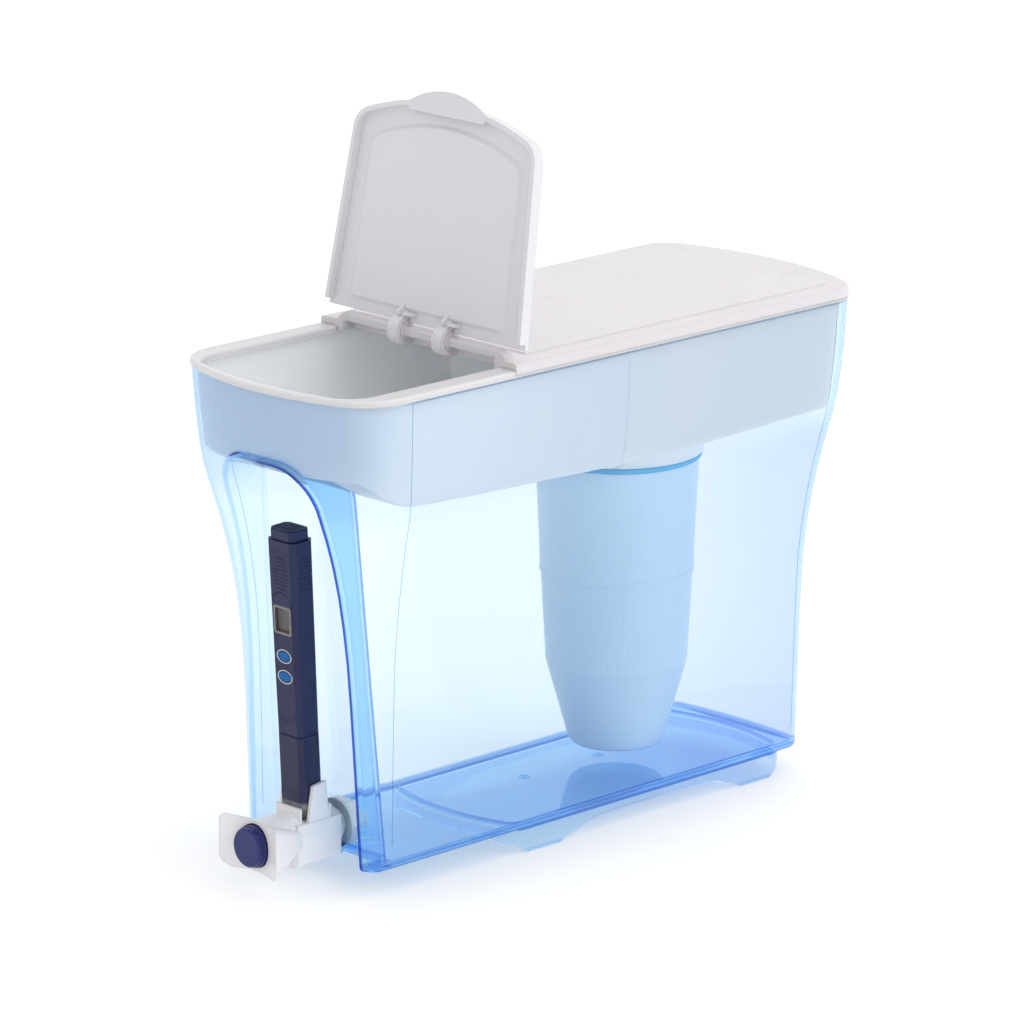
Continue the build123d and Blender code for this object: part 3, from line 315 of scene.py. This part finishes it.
def tub_painted_light_and_shade(nt, tc, col):
    """painted shade: the lip and flange on top are painted greyer than the tub; painted light: its rear half is painted
    a shade brighter
    """
    sep = nt.nodes.new("ShaderNodeSeparateXYZ")
    nt.links.new(tc.outputs["Object"], sep.inputs[0])
    k = ramp(nt, sep.outputs["Z"], 0.0, 1.0, 0.2495, 0.2515)
    n = noise(nt, tc, 12.0, 3.0)
    # painted light: the rear half is a little brighter
    rear = ramp(nt, sep.outputs["Y"], 0.0, 1.0, -0.003 + TY, -0.002 + TY)
    col = mix_color(nt, rear, col, tint(nt, n.outputs[0], (0.945, 0.955, 0.97), (0.955, 0.965, 0.98)))
    # painted shade: the lip and flange on top are greyer
    return mix_color(nt, k, col, tint(nt, n.outputs[0], (0.62, 0.61, 0.625), (0.66, 0.65, 0.665)))


def sheath_end(nt, tc, col):
    """the sheath's last few millimetres are a paler grey"""
    sep = nt.nodes.new("ShaderNodeSeparateXYZ")
    nt.links.new(tc.outputs["Object"], sep.inputs[0])
    k = ramp(nt, sep.outputs["Z"], 1.0, 0.0, 0.0405, 0.0425)
    n = noise(nt, tc, 160.0, 3.0)
    return mix_color(nt, k, col, tint(nt, n.outputs[0], (0.16, 0.16, 0.17), (0.24, 0.24, 0.25)))


def filter_flutes(m, nt, p, tc, chain):
    """fine upright flutes round the filter's lower body"""
    sub = nt.nodes.new("ShaderNodeVectorMath")
    sub.operation = "SUBTRACT"
    sub.inputs[1].default_value = (0.0, 0.0539 + TY, 0.0)
    nt.links.new(tc.outputs["Object"], sub.inputs[0])
    sep = nt.nodes.new("ShaderNodeSeparateXYZ")
    nt.links.new(sub.outputs[0], sep.inputs[0])
    ang = math_node(nt, "ARCTAN2", sep.outputs["Y"], sep.outputs["X"])
    wave = math_node(nt, "SINE", math_node(nt, "MULTIPLY", ang, 72.0))
    wave = math_node(nt, "POWER", math_node(nt, "ABSOLUTE", wave), 0.6)
    low = ramp(nt, sep.outputs["Z"], 0.0, 1.0, 0.028, 0.040)
    high = ramp(nt, sep.outputs["Z"], 1.0, 0.0, 0.150, 0.166)
    wave = math_node(nt, "MULTIPLY", wave, math_node(nt, "MULTIPLY", low, high))
    bump(nt, p, wave, 0.16, 0.0006, chain)


M = {}
M["tank"] = clear_blue("tank_clear_blue", 42.0, (0.03, 0.60, 0.985))
# the lighter edge colours below are painted highlights on the rounded edges, with some rubbed wear
M["reservoir"] = plastic("reservoir_white", (0.93, 0.94, 0.95), (0.915, 0.925, 0.94), (0.32, 0.44), 700, 0.04,
                         edge_highlight_and_wear=(0.93, 0.93, 0.94), sss=0.65, depth=0.008, extra=tub_painted_light_and_shade)[0]
M["cover"] = plastic("cover_white", (0.67, 0.64, 0.67), (0.645, 0.618, 0.645), (0.27, 0.37), 1200, 0.05,
                     edge_highlight_and_wear=(0.87, 0.86, 0.875), edge=0.0006)[0]
M["lid"] = plastic("lid_white", (0.735, 0.72, 0.755), (0.705, 0.69, 0.72), (0.34, 0.46), 1500, 0.07,
                   edge_highlight_and_wear=(0.86, 0.85, 0.87), edge=0.0006)[0]
fm = plastic("filter_milky", (0.60, 0.77, 0.935), (0.57, 0.745, 0.92), (0.34, 0.44), 800, 0.03, sss=0.15)
filter_flutes(*fm)
M["filter"] = fm[0]
M["filter_top"] = plastic("filter_cap_milky", (0.72, 0.86, 0.97), (0.68, 0.83, 0.955), (0.34, 0.44), 800, 0.03)[0]
M["seal"] = plastic("seal_rubber_blue", (0.03, 0.42, 0.72), (0.045, 0.46, 0.76), (0.4, 0.5), 900, 0.06)[0]
M["tap"] = plastic("tap_white", (0.83, 0.82, 0.84), (0.79, 0.785, 0.805), (0.28, 0.40), 900, 0.05,
                   edge_highlight_and_wear=(0.90, 0.90, 0.91), edge=0.0007)[0]
M["navy"] = plastic("tester_navy", (0.008, 0.013, 0.060), (0.011, 0.017, 0.072), (0.32, 0.48), 1400, 0.12,
                    edge_highlight_and_wear=(0.02, 0.028, 0.10), edge=0.0008, spec=0.33)[0]
M["sheath"] = plastic("sheath_navy", (0.007, 0.011, 0.052), (0.009, 0.013, 0.058), (0.30, 0.36), 1400, 0.05,
                      edge_highlight_and_wear=(0.02, 0.028, 0.10), edge=0.0012, spec=0.36, wave=0.0, extra=sheath_end)[0]
M["button"] = plastic("button_navy", (0.010, 0.015, 0.11), (0.014, 0.021, 0.14), (0.22, 0.34), 1200, 0.05,
                      edge_highlight_and_wear=(0.05, 0.06, 0.22), edge=0.0005, spec=0.36)[0]
M["bezel"] = plastic("bezel_frame", (0.16, 0.16, 0.17), (0.20, 0.20, 0.21), (0.30, 0.38), 1200, 0.03, metal=0.4, edge=0)[0]
M["key"] = plastic("key_bright_blue", (0.002, 0.10, 0.32), (0.003, 0.12, 0.36), (0.2, 0.3), 900, 0.03,
                   edge_highlight_and_wear=(0.02, 0.18, 0.48), spec=0.18)[0]
M["silver"] = plastic("bezel_silver", (0.50, 0.50, 0.52), (0.58, 0.58, 0.60), (0.22, 0.32), 1200, 0.03, metal=0.8)[0]
M["lcd"] = plastic("display_grey", (0.10, 0.085, 0.08), (0.125, 0.105, 0.10), (0.35, 0.45), 900, 0.02, edge=0)[0]
M["carbon"] = plastic("carbon_grains", (0.01, 0.01, 0.012), (0.04, 0.04, 0.045), (0.7, 0.9), 500, 0.8, edge=0)[0]
M["resin"] = plastic("resin_beads", (0.40, 0.24, 0.08), (0.55, 0.34, 0.12), (0.4, 0.6), 500, 0.8, edge=0)[0]
M["foam"] = plastic("foam_white", (0.7, 0.7, 0.68), (0.6, 0.6, 0.58), (0.8, 0.95), 400, 0.9, edge=0)[0]
M["rubber"] = plastic("valve_rubber_black", (0.02, 0.02, 0.02), (0.03, 0.03, 0.03), (0.5, 0.7), 900, 0.1)[0]
M["washer"] = plastic("washer_rubber_pale", (0.76, 0.78, 0.80), (0.72, 0.74, 0.76), (0.5, 0.6), 900, 0.1)[0]
M["steel"] = plastic("spring_steel", (0.45, 0.45, 0.47), (0.5, 0.5, 0.52), (0.2, 0.35), 1200, 0.03, metal=1.0, edge=0)[0]
M["board"] = plastic("board_green", (0.01, 0.10, 0.04), (0.015, 0.13, 0.05), (0.3, 0.45), 900, 0.05, edge=0)[0]
# the crease and step lines are painted shade; the gate mark is moulded
M["crease"] = tinted_line("tank_crease_painted_shade", (0.22, 0.36, 0.58))
M["mark"] = tinted_line("tank_gate_mark", (0.38, 0.62, 0.86))
M["step"] = tinted_line("tub_step_painted_shade", (0.62, 0.72, 0.82))


def glass(name):
    m, nt, p, tc, out = new_mat(name)
    p.inputs["Base Color"].default_value = (0.95, 0.96, 0.96, 1)
    p.inputs["Transmission Weight"].default_value = 1.0
    p.inputs["IOR"].default_value = 1.2
    mid = noise(nt, tc, 120.0, 4.0, 0.6)
    nt.links.new(ramp(nt, mid.outputs[0], 0.02, 0.08), p.inputs["Roughness"])
    return m


M["window"] = glass("window_clear")

LOOK = {
    "tank": "tank", "reservoir": "reservoir", "rear_cover": "cover", "pour_lid": "lid",
    "filter_housing": "filter", "filter_cap": "filter_top", "filter_seal_ring": "seal", "filter_coarse_screen": "foam",
    "filter_foam": "foam", "filter_membrane": "foam", "filter_carbon_bed": "carbon", "filter_resin_bed": "resin",
    "tap_body": "tap", "tap_nut": "tap", "tap_button": "button", "tap_stem": "washer", "tap_valve_seal": "rubber",
    "stem_o_ring": "rubber", "tap_spring": "steel", "tap_outer_washer": "washer", "tap_inner_washer": "washer",
    "tester_case": "navy", "tester_battery_cap": "navy", "tester_sheath": "sheath", "tester_bezel": "bezel",
    "tester_window": "window", "tester_display": "lcd", "tester_board": "board", "tester_power_button": "key",
    "tester_hold_button": "key", "tester_probe_pins": "steel", "tester_cells": "steel",
}
for n, o in N.items():
    o.data.materials.clear()
    o.data.materials.append(M[LOOK[n]])


# ------------------------------------------------------------------ small pieces
def piece(name, verts, faces, mat, body, smooth=False):
    me = bpy.data.meshes.new(name)
    me.from_pydata([tuple(v) for v in verts], [], faces)
    me.validate()
    me.update()
    for f in me.polygons:
        f.use_smooth = smooth
    o = bpy.data.objects.new(name, me)
    scene.collection.objects.link(o)
    me.materials.append(M[mat])
    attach(o, body)
    return o


# heights and outlines of the tank's sections: half width, front corner start, rear corner start
SECTIONS = [(0.0, 46.7, 148.1, 133.4), (50.0, 47.4, 148.6, 134.3), (84.0, 48.18, 149.03, 134.72),
            (105.0, 49.09, 149.4, 135.13), (122.0, 50.85, 149.85, 135.84), (138.0, 53.19, 150.42, 136.69),
            (153.0, 56.08, 151.2, 137.67), (167.0, 59.53, 152.14, 138.48), (178.0, 62.85, 153.01, 138.82),
            (188.0, 64.97, 153.85, 139.13), (198.0, 66.21, 154.61, 139.49), (214.0, 67.5, 155.3, 140.3),
            (238.0, 68.8, 156.0, 140.8)]


def paint_crease_shade():
    """painted shade: thin dark strips on the four upright lines where the tank's flat sides run into its corners"""
    verts, faces = [], []
    for sx in (-1, 1):
        for end in (2, 3):
            sy = -1 if end == 2 else 1
            base = len(verts)
            rows = 0
            for a, b in zip(SECTIONS, SECTIONS[1:]):
                steps = 4
                for i in range(steps + (1 if b is SECTIONS[-1] else 0)):
                    t = i / steps
                    z = a[0] + (b[0] - a[0]) * t
                    if z < 3.0:
                        continue
                    z = min(z, 237.3)
                    x = a[1] + (b[1] - a[1]) * t
                    y = a[end] + (b[end] - a[end]) * t
                    if end == 2:
                        y -= 4.0 + 2.6 * min(1.0, z / 150.0)
                    for dy in (-0.24, 0.24):
                        verts.append((sx * (x + 0.05) / 1000, (sy * y + dy) / 1000 + TY, z / 1000 + FOOT))
                    rows += 1
            for i in range(rows - 1):
                j = base + 2 * i
                faces.append((j, j + 1, j + 3, j + 2))
    return piece("tank_crease_shade_strips", verts, faces, "crease", "tank_body")


def paint_tub_step_shade():
    """painted shade: upright dark strip each side where the tub narrows by a step"""
    verts, faces = [], []
    for sx in (-1, 1):
        base = len(verts)
        rows = 0
        for a, b in zip(SECTIONS[8:], SECTIONS[9:]):
            for i in range(4 + (1 if b is SECTIONS[-1] else 0)):
                t = i / 4
                h = a[0] + (b[0] - a[0]) * t
                if h > 237.0:
                    continue
                x = a[1] + (b[1] - a[1]) * t - 2.9 + 0.12
                for dy in (-0.3, 0.3):
                    verts.append((sx * x / 1000, (-3.0 + dy) / 1000 + TY, h / 1000 + FOOT))
                rows += 1
        for i in range(rows - 1):
            j = base + 2 * i
            faces.append((j, j + 1, j + 3, j + 2))
    return piece("tub_step_shade_strips", verts, faces, "step", "reservoir_body")


def ring(verts, faces, centre, ax, ay, n, rx, ry, width, height, seg=48):
    """low oval ring: flat top with sloped flanks"""
    base = len(verts)
    prof = [(0.0, 0.0), (0.25 * width, height), (0.75 * width, height), (width, 0.0)]
    for i in range(seg):
        a = 2 * math.pi * i / seg
        for off, h in prof:
            verts.append(centre + ax * ((rx + off) * math.cos(a)) + ay * ((ry + off) * math.sin(a)) + n * h)
    for i in range(seg):
        j = (i + 1) % seg
        for k in range(3):
            faces.append((base + 4 * i + k, base + 4 * j + k, base + 4 * j + k + 1, base + 4 * i + k + 1))


def gate_marks():
    """round gate marks moulded on the tank's floor"""
    verts, faces = [], []
    X, Y, Z = Vector((1, 0, 0)), Vector((0, 1, 0)), Vector((0, 0, 1))
    for y, r in ((49.6, 2.3), (-2.7, 2.3)):
        c = Vector((-0.0083, y / 1000 + TY, 0.00285 + FOOT))
        ring(verts, faces, c, X, Y, Z, r / 1000, r / 1000, 0.0007, 0.00035)
        ring(verts, faces, c, X, Y, Z, 0.0004, 0.0004, 0.0005, 0.00025, 24)
    return piece("tank_gate_marks", verts, faces, "mark", "tank_body", True)


LEAN = math.radians(2.7)
PEN_X = Vector((1, 0, 0))
PEN_UP = Vector((0, -math.sin(LEAN), math.cos(LEAN)))
PEN_OUT = Vector((0, -math.cos(LEAN), -math.sin(LEAN)))
PEN_0 = Vector((0, -0.1599 + TY, 0.0269 + FOOT))


def face_depth(h):
    """distance of the tester's front face from its axis, at height h in mm"""
    return (6.9 + 0.3 * (h - 36.7) / 97.9) / 1000


def pen_point(x, h, d):
    return PEN_0 + PEN_X * (x / 1000) + PEN_UP * (h / 1000) + PEN_OUT * d


def key_rings():
    verts, faces = [], []
    for h in (76.6, 66.2):
        ring(verts, faces, pen_point(0, h, face_depth(h) - 0.00002), PEN_X, PEN_UP, PEN_OUT, 0.00462, 0.00292,
             0.00062, 0.00022, 64)
    return piece("tester_key_rings", verts, faces, "silver", "tester_body", True)


def grip():
    """rows of short raised bars on the tester's face and flanks, above the display"""
    verts, faces = [], []

    def bar(c, ax, n, half, thick, high):
        b = len(verts)
        for s in (-1, 1):
            for up, out in ((-thick, -0.0001), (-thick * 0.45, high), (thick * 0.45, high), (thick, -0.0001)):
                inset = 0.0 if out < 0 else 0.0003
                verts.append(c + ax * (s * (half - inset)) + PEN_UP * up + n * out)
        for k in range(3):
            faces.append((b + k, b + k + 1, b + 5 + k, b + 4 + k))
        faces.append((b, b + 3, b + 2, b + 1))
        faces.append((b + 4, b + 5, b + 6, b + 7))

    for i in range(9):
        h = 110.5 + i * 1.9
        half = 5.2 * math.sqrt(max(0.05, 1 - ((i - 4) / 5.2) ** 2)) / 1000
        bar(pen_point(0, h, face_depth(h)), PEN_X, PEN_OUT, half, 0.0005, 0.00032)
        for s in (-1, 1):
            w = (8.8 + 0.9 * (h - 36.7) / 97.9) / 1000
            bar(PEN_0 + PEN_X * (s * w) + PEN_UP * (h / 1000), PEN_OUT, PEN_X * s, half * 0.8, 0.0005, 0.00030)
    return piece("tester_grip_bars", verts, faces, "navy", "tester_body")


paint_crease_shade()
paint_tub_step_shade()
gate_marks()
key_rings()
grip()


# ------------------------------------------------------------------ stage
def floor():
    me = bpy.data.meshes.new("floor")
    s = 6.0
    me.from_pydata([(-s, -s, 0), (s, -s, 0), (s, s, 0), (-s, s, 0)], [], [(0, 1, 2, 3)])
    o = bpy.data.objects.new("floor", me)
    scene.collection.objects.link(o)
    m, nt, p, tc, out = new_mat("floor_pale")
    n = noise(nt, tc, 3.0, 3.0)
    nt.links.new(tint(nt, n.outputs[0], (0.82, 0.82, 0.82), (0.84, 0.84, 0.84)), p.inputs["Base Color"])
    p.inputs["Roughness"].default_value = 0.9
    p.inputs["Specular IOR Level"].default_value = 0.2
    p.inputs["Emission Color"].default_value = (1.0, 1.0, 1.0, 1)
    p.inputs["Emission Strength"].default_value = 0.27
    me.materials.append(m)


floor()

world = bpy.data.worlds.new("studio")
scene.world = world
world.use_nodes = True
wt = world.node_tree
bg = wt.nodes["Background"]
bg.inputs[0].default_value = (1.0, 1.0, 1.0, 1)
wc = wt.nodes.new("ShaderNodeTexCoord")
dot = wt.nodes.new("ShaderNodeVectorMath")
dot.operation = "DOT_PRODUCT"
dot.inputs[1].default_value = (0.03, 1.0, 0.0)
wt.links.new(wc.outputs["Generated"], dot.inputs[0])
wr = wt.nodes.new("ShaderNodeMapRange")
wr.inputs["From Min"].default_value = -0.7
wr.inputs["From Max"].default_value = 0.55
wr.inputs["To Min"].default_value = 0.78
wr.inputs["To Max"].default_value = 1.22
wt.links.new(dot.outputs["Value"], wr.inputs["Value"])
wt.links.new(wr.outputs["Result"], bg.inputs[1])


def area(name, loc, target, size, power, color=(1, 1, 1), size_y=None):
    l = bpy.data.lights.new(name, "AREA")
    l.energy = power
    l.size = size
    if size_y:
        l.shape = "RECTANGLE"
        l.size_y = size_y
    l.color = color
    o = bpy.data.objects.new(name, l)
    scene.collection.objects.link(o)
    o.location = loc
    d = Vector(target) - Vector(loc)
    o.rotation_euler = d.to_track_quat("-Z", "Y").to_euler()
    return o


area("key", (2.0, 0.1, 1.2), (0, 0, 0.15), 1.0, 7.0)
area("top", (0.2, 0.3, 2.2), (0, 0, 0.2), 1.2, 1.5)

scene.cycles.max_bounces = 24
scene.cycles.transmission_bounces = 24
scene.cycles.diffuse_bounces = 7

cam_d = bpy.data.cameras.new("camera")
cam_d.sensor_width = 36.0
cam_d.lens = 6067.399 / 1024.0 * 36.0
cam_d.clip_start = 0.1
cam_d.clip_end = 30.0
cam = bpy.data.objects.new("camera", cam_d)
scene.collection.objects.link(cam)
cam.location = (2.0844478, -2.0204881 + TY, 0.9463433 + FOOT)
cam.rotation_euler = Euler((math.radians(90 - 15.480976), 0, math.radians(46.163923)), "XYZ")
scene.camera = cam
scene.view_settings.view_transform = "Standard"
